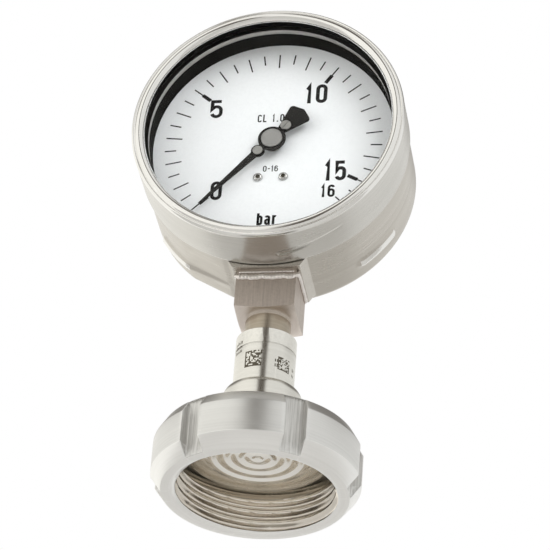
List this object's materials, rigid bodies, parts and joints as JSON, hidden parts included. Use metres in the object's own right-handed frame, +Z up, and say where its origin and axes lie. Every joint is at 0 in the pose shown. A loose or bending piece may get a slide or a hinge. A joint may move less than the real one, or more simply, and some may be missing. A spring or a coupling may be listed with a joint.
{
  "type": "pressure gauge",
  "caption": "Round dial pressure gauge with Bourdon tube movement, bottom stem, corrugated diaphragm seal and slotted union nut with internal round thread.",
  "frame": {"origin": "centre of the union nut's lower face, on the stem axis", "axes": "+Z up along the stem, the dial faces -Y, +X to the right of someone reading the dial"},
  "size_m": [0.101, 0.0744, 0.1882],
  "materials": {
    "case": "satin drawn stainless steel",
    "plug_rubber": "moulded black rubber",
    "bezel": "polished stainless steel",
    "gasket": "black rubber",
    "glass": "clear laminated glass",
    "support_ring": "light grey moulded ring",
    "surround": "black moulded ring",
    "dial": "white printed aluminium",
    "small_screws": "plated steel",
    "brass": "turned brass",
    "pointer": "matt black aluminium",
    "hub_cap": "bright turned",
    "bush": "bronze",
    "inner_steel": "stainless sheet",
    "arbor": "ground steel",
    "tube_steel": "drawn stainless tube",
    "spring": "spring bronze",
    "nut": "turned stainless steel",
    "seal_steel": "turned stainless steel",
    "diaphragm": "polished stainless foil",
    "sleeve": "turned stainless steel",
    "block": "brushed stainless steel"
  },
  "bodies": {
    "gauge": {"case": "case", "window_gasket": "gasket", "window_glass": "glass", "support_ring": "support_ring", "dial_surround": "surround", "dial": "dial", "dial_screws": "small_screws", "dial_standoffs": "brass", "front_plate": "brass", "back_plate": "brass", "plate_pillars": "brass", "movement_screws": "small_screws", "pivot_bushes": "bush", "movement_bracket": "inner_steel", "bracket_screws": "small_screws", "bourdon_tube": "tube_steel", "hairspring": "spring", "hairspring_stud": "brass", "seal_body": "seal_steel", "diaphragm": "diaphragm", "fill_port_plug": "small_screws", "adapter_sleeve": "sleeve", "socket_block": "block"},
    "bezel": {"bezel_ring": "bezel"},
    "blowout_plug": {"blowout_plug": "plug_rubber"},
    "pointer": {"pointer": "pointer", "pointer_hub": "hub_cap", "pointer_rivet": "hub_cap", "pinion_arbor": "arbor", "hairspring_collet": "brass"},
    "zero_adjuster": {"pointer_adjuster": "hub_cap"},
    "sector": {"sector_gear": "brass", "sector_arbor": "arbor", "tail_pin": "arbor"},
    "link": {"link": "inner_steel"},
    "tube_end": {"tube_tip": "inner_steel", "tip_screw": "small_screws"},
    "union_nut": {"union_nut": "nut"}
  },
  "joints": [
    {"name": "pointer_sweep", "type": "hinge", "parent": "gauge", "child": "pointer", "pos_m": [0, -0.0175, 0.1377], "axis": [0, 1, 0], "range_deg": [0, 273], "stiffness_Nm_per_rad": 0.0002, "deforming": ["hairspring"]},
    {"name": "adjuster_turn", "type": "hinge", "parent": "pointer", "child": "zero_adjuster", "pos_m": [0.00488, -0.0175, 0.14313], "axis": [0, 1, 0], "range_deg": [-180, 180]},
    {"name": "sector_swing", "type": "hinge", "parent": "gauge", "child": "sector", "pos_m": [0, -0.0175, 0.1181], "axis": [0, 1, 0], "range_deg": [-39.6, 0.6]},
    {"name": "link_pivot", "type": "hinge", "parent": "sector", "child": "link", "pos_m": [-0.00234, -0.0175, 0.1115], "axis": [0, 1, 0], "range_deg": [-0.6, 39.6]},
    {"name": "tube_end_travel", "type": "slide", "parent": "gauge", "child": "tube_end", "axis": [1, 0, 0], "range_m": [-0.0001, 0.00477], "deforming": ["bourdon_tube"]},
    {"name": "bezel_twist", "type": "hinge", "parent": "gauge", "child": "bezel", "pos_m": [0, -0.0175, 0.1377], "axis": [0, -1, 0], "range_deg": [0, 30]},
    {"name": "blowout_slide", "type": "slide", "parent": "gauge", "child": "blowout_plug", "axis": [0, 1, 0], "range_m": [0, 0.004]},
    {"name": "nut_spin", "type": "hinge", "parent": "gauge", "child": "union_nut", "pos_m": [0, 0, 0.011], "axis": [0, 0, 1], "continuous": true}
  ],
  "couplings": [
    {"joint": "sector_swing", "follows": "pointer_sweep", "ratio": -0.14286},
    {"joint": "link_pivot", "follows": "pointer_sweep", "ratio": 0.14286},
    {"joint": "tube_end_travel", "follows": "pointer_sweep", "m_per_rad": 0.00098081}
  ]
}
